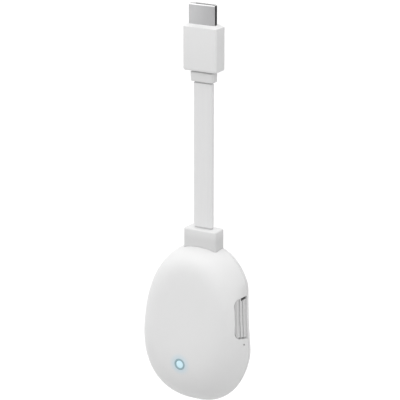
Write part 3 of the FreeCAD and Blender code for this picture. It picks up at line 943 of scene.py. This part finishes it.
def make_vent_insert():
    """The height field closed by a back and sides, then trimmed to the window's outline."""
    y = merge_steps((vent_front - 0.5, vent_back, 0.07), singles=[vent_back])
    z = merge_steps((vent_bottom - 1.5, vent_top + 0.5, 0.4), (vent_bottom - 1.0, vent_bottom + 1.8, 0.08),
                    (vent_top - 3.4, vent_top - 0.4, 0.08))
    y_grid, z_grid = np.meshgrid(y, z, indexing="ij")
    top = np.stack([insert_surface(y_grid, z_grid), y_grid, z_grid], axis=-1)
    under = np.stack([side_flat(z_grid) - insert_thickness, y_grid, z_grid], axis=-1)
    points = np.concatenate([top.reshape(-1, 3), under.reshape(-1, 3)])
    index = np.arange(y_grid.size).reshape(y_grid.shape)
    cells = np.stack([index[:-1, :-1], index[1:, :-1], index[1:, 1:], index[:-1, 1:]], axis=-1)
    cells = cells.reshape(-1, 4)
    edge = np.concatenate([index[:, 0], index[-1, 1:], index[-2::-1, -1], index[0, -2:0:-1]])
    beside = np.roll(edge, -1)
    faces = cells.tolist() + (cells[:, ::-1] + index.size).tolist()
    faces += np.stack([beside, edge, edge + index.size, beside + index.size], axis=-1).tolist()
    insert = put_mesh("vent_insert", lean(points), faces)
    face_outwards(insert)
    carve(insert, window_bar("insert_outline", fit_gap), "INTERSECT")
    mark_recesses(insert)
    finish_piece(insert, "vent_grille", vent_plastic())


make_vent_insert()


# %% [markdown]
# ## Status light
#
# A ring of satin plastic is set flush in the dome, and a clear light pipe ends inside it. Both
# are turned parts, so each is a profile carried round the light's axis. Every point of the
# profile is set on the dome below it, so the ring follows the curve of the front.

# %% Turning on the dome
lens_radius = 1.85
ring_foot = -1.4
ring_crest = 0.12
ring_rise = 0.1


def dome_at(x, z):
    """Depth of the dome's outer surface over a point, by bisection on the ring's size."""
    low = np.full(np.shape(x), 0.0)
    high = np.full(np.shape(x), 1.0)
    for _ in range(40):
        size = (low + high) / 2
        height = (z - body_middle - front_rise * (1 - size)) / half_length
        side = x / (1 - egg_taper * height / size) / half_width
        inside = np.abs(side) ** egg_exponent + np.abs(height) ** egg_exponent > size ** egg_exponent
        low = np.where(inside, size, low)
        high = np.where(inside, high, size)
    return parting_depth - dome_depth((low + high) / 2, front_depth)


def turned_on_dome(name, profile, loop=False, sides=72):
    """Carry (radius, height above the dome) pairs round the light's axis."""
    radius, rise = np.array(profile).T
    across, up = full_circle(sides)
    x = radius[:, None] * across
    z = radius[:, None] * up + light_level
    y = dome_at(x, z) - rise[:, None]
    return ring_mesh(name, lean(np.stack([x, y, z], axis=-1)), loop)


def ring_profile():
    """From the outer wall over a crest, rounded on both sides, to the inner wall."""
    turn = np.linspace(0, math.pi, 9)
    across, up = ring_crest * np.cos(turn), ring_rise - ring_crest + ring_crest * np.sin(turn)
    outer, inner = light_radius, lens_radius + seat_gap
    over = np.column_stack([outer - ring_crest + across[:5], up[:5]])
    back = np.column_stack([inner + ring_crest + across[4:], up[4:]])
    return np.vstack([(outer, ring_foot), over, back, (inner, ring_foot)])


# %% Make the ring and the lens
ring_dark = (0.30, 0.44, 0.49)
ring_light = (0.36, 0.50, 0.54)
lens_dark = (0.56, 0.78, 0.87)
lens_light = (0.66, 0.84, 0.91)
lens_glow = 0.2


def make_status_ring():
    """A loop of the ring's profile, in grey-blue satin plastic."""
    finish, grain = satin("status_ring_plastic", 4200.0, 0.30, 0.38, 0.000004)
    finish.colour(finish.blend(grain, ring_dark, ring_light))
    ring = turned_on_dome("status_ring", ring_profile(), loop=True)
    finish_piece(ring, "light_ring", finish.material)


def make_status_lens():
    """The light pipe's end, slightly domed, lit from within: it gives off a little of its own colour."""
    finish, grain = satin("status_lens_plastic", 1500.0, 0.22, 0.3, 0.000003, ior=1.49)
    light = finish.blend(grain, lens_dark, lens_light)
    finish.colour(light)
    feed(finish.tree, finish.shader.inputs["Emission Color"], light)
    finish.shader.inputs["Emission Strength"].default_value = lens_glow
    wall = [(lens_radius - inset, rise)
            for inset, rise in ((0, -1.3), (0, -0.12), (0.04, -0.06), (0.12, -0.03))]
    end = [(lens_radius * 0.7, 0.0), (lens_radius * 0.35, 0.02), (0.05, 0.02)]
    lens = turned_on_dome("status_lens", wall + end)
    finish_piece(lens, "light_pipe", finish.material)


make_status_ring()
make_status_lens()


# %% [markdown]
# ## Cable
#
# The flat cable is a free cord. The photograph shows it straight from
# the relief to the plug's collar, 71.3 mm, held taut by the body's weight. Its line is a smooth
# spline, and the jacket's section is carried along the points of that line. At both ends the
# jacket is pinched a little where it enters the mouldings, and painted shade darkens it there.

# %% The cable's route and section
cable_width = 10.3
cable_depth = 3.2
cable_side_flat = 0.12
pinch_depth = 0.35
pinch_height = 0.55
pinch_run = 0.35
collar_bottom = -27.2
route_points = [(0.0, 0.0, level) for level in (relief_top, (relief_top + collar_bottom) / 2, collar_bottom)]


def route_line(points):
    """Points along the NURBS spline through the route, as Blender evaluates it."""
    curve = bpy.data.curves.new("cable_route", "CURVE")
    curve.dimensions = "3D"
    curve.resolution_u = 240
    spline = curve.splines.new("NURBS")
    spline.points.add(len(points) - 1)
    for point, place in zip(spline.points, points):
        point.co = (*[value / 1000 for value in place], 1.0)
    spline.order_u = 3
    spline.use_endpoint_u = True
    holder = bpy.data.objects.new("cable_route", curve)
    line = bpy.data.meshes.new_from_object(holder)
    found = np.array([vertex.co[:] for vertex in line.vertices]) * 1000
    bpy.data.objects.remove(holder)
    bpy.data.meshes.remove(line)
    return found


def jacket_rings(line):
    """The jacket's section, a bar with nearly round sides, carried along the line of the cable.

    Over the last half millimetre at each end it is drawn in by pinch_depth, with an even S back to full size.
    """
    section = rounded_outline(cable_width, cable_depth, cable_depth / 2 - cable_side_flat, 12)
    along = np.gradient(line, axis=0)
    along /= np.linalg.norm(along, axis=1)[:, None]
    front = np.cross([1.0, 0.0, 0.0], along)
    to_end = np.minimum(line[:, 2] - relief_top, collar_bottom - line[:, 2])
    drawn_in = pinch_depth * (1 - smooth_step((to_end - pinch_height) / pinch_run))
    across = section[None, :, 0] * (1 - 2 * drawn_in / cable_width)[:, None]
    through = section[None, :, 1] * (1 - 2 * drawn_in / cable_depth)[:, None]
    return line[:, None] + across[..., None] * np.array([1.0, 0, 0]) - through[..., None] * front[:, None]


# %% Make the cable
jacket_white = (0.84, 0.84, 0.84)
jacket_line = (0.80, 0.80, 0.805)
# Painted shade in bands at the jacket's two ends: their reach in millimetres and their colours.
joint_reach = 0.9
lower_joint_shade = (0.60, 0.60, 0.60)
upper_joint_shade = (0.40, 0.40, 0.40)


def cable_jacket():
    """Soft white jacket: smoother than the shells, with faint lines drawn along it."""
    finish = Finish("cable_jacket", ior=1.5)
    drawn = finish.group(drawn_lines, Lines_per_metre=1400.0)
    grain = finish.group(mould_grain, Grains_per_metre=2600.0)
    jacket = finish.blend(drawn["Height"], jacket_white, jacket_line)
    # painted shade where the jacket meets the relief and the collar
    jacket = finish.blend(finish.band(relief_top, joint_reach), jacket, lower_joint_shade)
    finish.colour(finish.blend(finish.band(collar_bottom, joint_reach), jacket, upper_joint_shade))
    finish.rough(finish.spread(grain, 0.50, 0.42))
    fine = maths(finish.tree, "MULTIPLY", grain["Height"], 0.4)
    finish.bump(maths(finish.tree, "ADD", drawn["Height"], fine), 0.000012)
    return finish.material


line = route_line(route_points)
cable = ring_mesh("cable", jacket_rings(line))
finish_piece(cable, "flat_cable", cable_jacket())
print("cable points", len(line), "length in millimetres", round(float(np.ptp(line[:, 2])), 2))


# %% [markdown]
# ## Moulded blocks on the cable
#
# The plug's housing, its collar and the cable's relief are all rounded blocks whose section
# changes along Z. Each is a stack of rounded rectangles: a list of height, width, depth and
# corner radius. A Bevel modifier could round a box, but here the roundings differ from edge to
# edge.

# %% Stacks of rounded rectangles
least_corner = 0.25


def stack(name, layers):
    """Closed mesh from layers of (height, width, depth, corner)."""
    rings = [upright_bar(rounded_outline(width, depth, corner), [height])[0]
             for height, width, depth, corner in layers]
    return ring_mesh(name, np.stack(rings), sharp_from=50.0)


def rounded_end(height, width, depth, corner, radius, sign, steps=7):
    """Layers that turn a block's wall over into its end face; sign is +1 for an upper end."""
    inset, short = rounding(radius, steps).T
    return np.stack([height - sign * short, width - 2 * inset, depth - 2 * inset,
                     np.maximum(corner - inset, least_corner)], axis=-1)


# %% [markdown]
# The housing has a rounded foot and a small sloped lip round the metal plug. The collar is a
# short rubber sleeve, a touch wider at its top, with a narrower neck where it leaves the
# housing; a painted shadow darkens it just under the housing. The relief is a plain block,
# rounded over at the top, and painted a little darker low down, as shade from the body.

# %% Make the housing, the collar and the relief
plug_width = 13.9
plug_depth = 4.45
housing_width = 18.0
housing_depth = 8.5
housing_bottom = -22.0
housing_top = -1.0
housing_corner = 1.0
housing_foot_round = 1.2
housing_top_round = 0.3
housing_shoulder = 0.9
collar_width = 12.7
collar_depth = 5.2
collar_corner = 1.5
collar_foot_round = 0.55
collar_top_round = 0.2
neck_height = 0.75
neck_inset = 1.0
neck_corner = 1.2
relief_round = 0.9
housing_white = (0.83, 0.83, 0.83)
collar_grey = (0.77, 0.77, 0.77)
relief_white = (0.78, 0.78, 0.78)
# Painted shade as (height, reach, share): a shadow on the collar under the housing, and the relief darker low
# down.
collar_painted_shadow = (housing_bottom, 0.9, 0.5)
relief_painted_shade = (relief_top - 9.0, 8.5, 0.87)


def make_plug_housing():
    """Rounded foot, upright wall, a soft shoulder, and a sloped lip up to the metal plug."""
    block = (housing_width, housing_depth, housing_corner)
    foot = rounded_end(housing_bottom, *block, housing_foot_round, -1)[::-1]
    shoulder = rounded_end(housing_top, *block, housing_top_round, 1)
    lip = [(housing_top + 0.02, housing_width - housing_shoulder, housing_depth - housing_shoulder,
            housing_corner * 0.8)]
    lip += [(height, plug_width + room, plug_depth + room, housing_corner * share)
            for height, room, share in ((-0.12, 1.1, 0.75), (-0.03, 0.9, 0.7), (0.0, 0.7, 0.6))]
    housing = stack("plug_grip", np.vstack([foot, shoulder, lip]))
    return finish_piece(housing, "plug_housing",
                        moulded_plastic("plug_grip_plastic", housing_white, 0.4))


def make_collar():
    """A slightly tapered sleeve with soft edges, and a short neck where it leaves the housing."""
    neck = housing_bottom - neck_height
    foot = rounded_end(collar_bottom, collar_width - 0.2, collar_depth - 0.2, collar_corner,
                       collar_foot_round, -1, 6)[::-1]
    top = rounded_end(neck, collar_width, collar_depth, collar_corner, collar_top_round, 1, 5)
    throat = [(height, collar_width - neck_inset, collar_depth - neck_inset, neck_corner)
              for height in (neck + 0.02, housing_bottom)]
    collar = stack("plug_sleeve", np.vstack([foot, top, throat]))
    # painted shadow: the collar darkens in a band just under the housing
    return finish_piece(collar, "plug_collar",
                        moulded_plastic("plug_sleeve_rubber", collar_grey, 0.48, 2600.0, joint=collar_painted_shadow))


def make_relief():
    """The block at the top of the body, rounded over at its upper edge."""
    foot = [(relief_top - relief_height, relief_width, relief_depth, relief_corner)]
    top = rounded_end(relief_top, relief_width, relief_depth, relief_corner, relief_round, 1, 9)
    relief = stack("relief_block", np.vstack([foot, top]))
    # painted shade: the relief darkens towards its lower end, where the body shades it
    finish_piece(relief, "cable_relief",
                 moulded_plastic("relief_plastic", relief_white, joint=relief_painted_shade))


plug_grip = make_plug_housing()
plug_sleeve = make_collar()
make_relief()


# %% [markdown]
# ## Metal plug
#
# The plug's shell is folded sheet steel: a wide front, upright sides, and stepped corners at the
# back. Its outline is a polygon whose corners are rounded by arcs, and the sheet's thickness
# comes from a second outline drawn in by 0.3 mm; the rings run up outside, over the edge and down
# inside. A highlight is painted bright into the colour along the cut edge at the mouth.

# %% Make the plug's shell
plug_metal = 0.3
plug_projection = 9.5
plug_root = 8.0
plug_corner = 0.42
plug_step_in = 1.6
plug_step_up = 0.6
plug_shoulder = 2.45
plug_tone = (0.42, 0.42, 0.425)
plug_rim = 0.7


def round_polygon(points, radius, per_corner=6):
    """Replace each corner of a polygon by an arc that touches both of its sides."""
    points = np.asarray(points, dtype=float)
    before = np.roll(points, 1, axis=0) - points
    after = np.roll(points, -1, axis=0) - points
    before /= np.linalg.norm(before, axis=1)[:, None]
    after /= np.linalg.norm(after, axis=1)[:, None]
    half_turn = np.arccos(np.clip(np.einsum("ij,ij->i", before, after), -1, 1)) / 2
    inward = before + after
    inward /= np.linalg.norm(inward, axis=1)[:, None]
    centre = points + inward * (radius / np.sin(half_turn))[:, None]
    start = points + before * (radius / np.tan(half_turn))[:, None] - centre
    end = points + after * (radius / np.tan(half_turn))[:, None] - centre
    share = np.linspace(0, 1, per_corner)[None, :, None]
    arc = start[:, None] * (1 - share) + end[:, None] * share
    arc *= radius / np.linalg.norm(arc, axis=2)[..., None]
    return (centre[:, None] + arc).reshape(-1, 2)


def plug_outline(grow):
    """The plug's section, grown outwards a little: wide at the front, stepped in at the back."""
    front, back = -plug_depth / 2 - grow, plug_depth / 2 + grow
    side, inner = plug_width / 2 + grow, plug_width / 2 - plug_step_in + grow
    shoulder, step = -plug_depth / 2 + plug_shoulder, back - plug_step_up
    right = [(side, front), (side, shoulder), (inner, step), (inner, back)]
    left = [(-x, y) for x, y in reversed(right)]
    return round_polygon(right + left, plug_corner + grow / 2)


def make_plug_steel():
    """Outer wall, a rolled edge at the mouth, and the inner wall."""
    turn = np.linspace(0, math.pi, 7)
    half = plug_metal / 2
    edge = [(-half + half * math.cos(a), plug_projection - half + half * math.sin(a)) for a in turn]
    layers = [(0.0, -plug_root)] + edge + [(-plug_metal, -plug_root)]
    rings = [upright_bar(plug_outline(grow), [height])[0] for grow, height in layers]
    shell = ring_mesh("plug_steel", np.stack(rings), loop=True)
    # painted highlight along the edge at the mouth
    return finish_piece(shell, "plug_shell",
                        plain_metal("plug_steel", plug_tone, 0.3, rim=(plug_projection, plug_rim)))


plug_steel = make_plug_steel()


# %% [markdown]
# ## Pieces kept from the model
#
# The inner pieces and small hard parts keep their modelled shape. Each still gets a finish of its
# own kind: solder mask with traces, pressed steel, gold plate, ceramic, thermal pad.

# %% Finishes of the inner pieces
def solder_mask(name, colour, trace):
    """Green lacquer over copper: thin raised traces as a fine brick pattern under the lacquer."""
    finish = Finish(name)
    brick = finish.tree.nodes.new("ShaderNodeTexBrick")
    brick.inputs["Scale"].default_value = 420.0
    brick.inputs["Mortar Size"].default_value = 0.03
    turn = finish.tree.nodes.new("ShaderNodeMapping")
    turn.inputs["Rotation"].default_value = (math.pi / 2, 0, 0)
    feed(finish.tree, turn.inputs["Vector"], finish.place)
    feed(finish.tree, brick.inputs["Vector"], turn.outputs["Vector"])
    finish.colour(finish.blend(brick.outputs["Fac"], colour, trace))
    marks = finish.group(handling_marks, Patches_per_metre=120.0)
    finish.rough(span(finish.tree, marks["Mask"], 0.0, 1.0, 0.26, 0.36))
    finish.bump(brick.outputs["Fac"], 0.00002)
    return finish.material


def grained(colour, roughness, grains=3200.0, depth=0.000006):
    """A function that makes moulded plastic of this colour under a given name."""
    return lambda name: moulded_plastic(name, colour, roughness, grains, depth, 0.9)


def metal(colour, roughness, lines=5000.0):
    """A function that makes bright metal of this colour under a given name."""
    return lambda name: plain_metal(name, colour, roughness, lines)


def board(name):
    """The green of both circuit boards."""
    return solder_mask(name, (0.012, 0.075, 0.04), (0.03, 0.13, 0.07))


gold_plate = metal((0.88, 0.62, 0.26), 0.25)
cable_cores = grained((0.16, 0.16, 0.17), 0.5)
chip_resin = grained((0.025, 0.025, 0.027), 0.5, 5000.0)
thermal_pad = grained((0.26, 0.32, 0.40), 0.7, 1800.0, 0.00002)
kept_pieces = {
    "plug_insulator": grained((0.02, 0.02, 0.022), 0.4),
    "plug_contacts": gold_plate,
    "plug_board": board,
    "plug_core": cable_cores,
    "cable_leads": cable_cores,
    "status_led": grained((0.75, 0.80, 0.78), 0.3),
    "main_board": board,
    "cable_header": grained((0.72, 0.68, 0.58), 0.45),
    "processor": chip_resin,
    "processor_pad": thermal_pad,
    "shield_can": metal((0.62, 0.62, 0.63), 0.32),
    "spreader_pad": thermal_pad,
    "heat_spreader": metal((0.78, 0.78, 0.79), 0.4, 2600.0),
    "memory_chips": chip_resin,
    "radio_module": metal((0.60, 0.60, 0.61), 0.3),
    "antennas": metal((0.80, 0.62, 0.34), 0.35),
    "power_inductor": grained((0.03, 0.03, 0.032), 0.65, 4200.0, 0.00001),
    "clock_crystal": metal((0.66, 0.66, 0.67), 0.24),
    "capacitors": grained((0.36, 0.24, 0.13), 0.45, 5200.0),
    "board_screws": metal((0.32, 0.32, 0.33), 0.3),
    "usb_shell": metal((0.60, 0.60, 0.61), 0.28),
    "usb_tongue": grained((0.02, 0.02, 0.022), 0.45),
    "usb_contacts": gold_plate,
    "reset_switch": grained((0.04, 0.04, 0.042), 0.5),
    "reset_plunger": grained((0.40, 0.40, 0.40), 0.5),
}

for node, make in kept_pieces.items():
    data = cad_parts[node].data
    data.materials.clear()
    data.materials.append(make(node + "_finish"))
print("kept pieces", len(kept_pieces))


# %% [markdown]
# ## Floor and background
#
# The photograph's background is pure white without a shadow. The floor is a wide pale disc that
# runs up into a wall far behind. Its white comes from a little glow that only the camera and
# reflections see.

# %% Floor
floor_level = -300.0
floor_radius = 4000.0
floor_wall = 600.0
floor_steps = 96
floor_tone = 0.5
floor_glow = 0.55


def seen_directly(tree):
    """1 for camera, glossy and transmitted rays, else 0."""
    path = tree.nodes.new("ShaderNodeLightPath").outputs
    both = maths(tree, "MAXIMUM", path["Is Camera Ray"], path["Is Glossy Ray"])
    return maths(tree, "MAXIMUM", both, path["Is Transmission Ray"])


def dress_stage(piece, tone, roughness, glow):
    """Give a stage piece a plain grey; glow makes the emission's strength from its node tree."""
    material = bpy.data.materials.new(piece.name)
    material.use_nodes = True
    tree = material.node_tree
    inputs = tree.nodes["Principled BSDF"].inputs
    inputs["Base Color"].default_value = (tone, tone, tone, 1.0)
    inputs["Roughness"].default_value = roughness
    inputs["Emission Color"].default_value = (1.0, 1.0, 1.0, 1.0)
    feed(tree, inputs["Emission Strength"], glow(tree))
    piece.data.materials.append(material)
    print(piece.name, "faces", len(piece.data.polygons))


def make_floor():
    """A disc whose rim turns up: radius and height both follow a quarter circle at the edge."""
    inset, short = rounding(floor_wall, 10)[::-1].T
    flat = np.array([200.0, 800.0, 2000.0, 3000.0])
    radius = np.concatenate([flat, floor_radius - inset])
    height = np.concatenate([np.zeros(4), short]) + floor_level
    across, up = full_circle(floor_steps)
    rings = np.stack([radius[:, None] * across, radius[:, None] * up,
                      np.broadcast_to(height[:, None], (len(height), floor_steps))], axis=-1)
    faces = ring_faces(len(radius), floor_steps, False).tolist() + [list(range(floor_steps))]
    floor = put_mesh("studio_floor", rings.reshape(-1, 3), faces)
    dress_stage(floor, floor_tone, 0.9, lambda tree: maths(tree, "MULTIPLY", seen_directly(tree), floor_glow))


make_floor()


# %% [markdown]
# ## Light
#
# The light is very even, as in a light tent, so most of it comes from the world and keeps the
# colours as they are written. Three large weak lamps add the brighter top and left, and lift the
# right side a little. A product photographer sets a black card beside bright metal to give it a
# dark side. The same card stands here behind on the right, out of the picture, and the plug's
# side mirrors it. To the camera the card itself is as white as the background.

# %% World, lamps and card
world_level = 1.04
lamp_target = (0.0, 0.0, -100.0)
lamps = {
    "top_box": ((-100.0, -100.0, 900.0), 900.0, 2.2),
    "left_box": ((-1000.0, -900.0, 250.0), 900.0, 1.7),
    "right_box": ((1000.0, -100.0, -260.0), 700.0, 1.1),
}
card_middle = np.array([380.0, 640.0, -200.0])
card_side = np.array([-0.82, 0.49, 0.0]) * 420.0
card_rise = np.array([0.0, 0.0, 300.0])
card_tone = 0.02


def make_world():
    """White all round: at world_level for the object's light, and at 1 where it is seen itself."""
    world = bpy.data.worlds.new("studio")
    bpy.context.scene.world = world
    world.use_nodes = True
    tree = world.node_tree
    background = tree.nodes["Background"]
    background.inputs["Color"].default_value = (1.0, 1.0, 1.0, 1.0)
    feed(tree, background.inputs["Strength"], span(tree, seen_directly(tree), 0.0, 1.0, world_level, 1.0))


def make_dark_card():
    """A black square that glows white only for the camera."""
    corners = ((-1, -1), (1, -1), (1, 1), (-1, 1))
    points = [card_middle + across * card_side + up * card_rise for across, up in corners]
    card = put_mesh("dark_card", points, [[0, 1, 2, 3]])
    dress_stage(card, card_tone, 0.95,
                lambda tree: tree.nodes.new("ShaderNodeLightPath").outputs["Is Camera Ray"])


def make_lamp(name, place, size, power):
    """A square area lamp at a place, turned to face the target; power in watts."""
    data = bpy.data.lights.new(name, "AREA")
    data.size = size / 1000
    data.energy = power
    lamp = bpy.data.objects.new(name, data)
    lamp.location = Vector(place) / 1000
    direction = Vector(lamp_target) - Vector(place)
    lamp.rotation_euler = direction.to_track_quat("-Z", "Y").to_euler()
    bpy.context.scene.collection.objects.link(lamp)
    print(name, "at", place, "power", power)


make_world()
make_dark_card()
for name, (place, size, power) in lamps.items():
    make_lamp(name, place, size, power)

bpy.context.scene.view_settings.view_transform = "Standard"
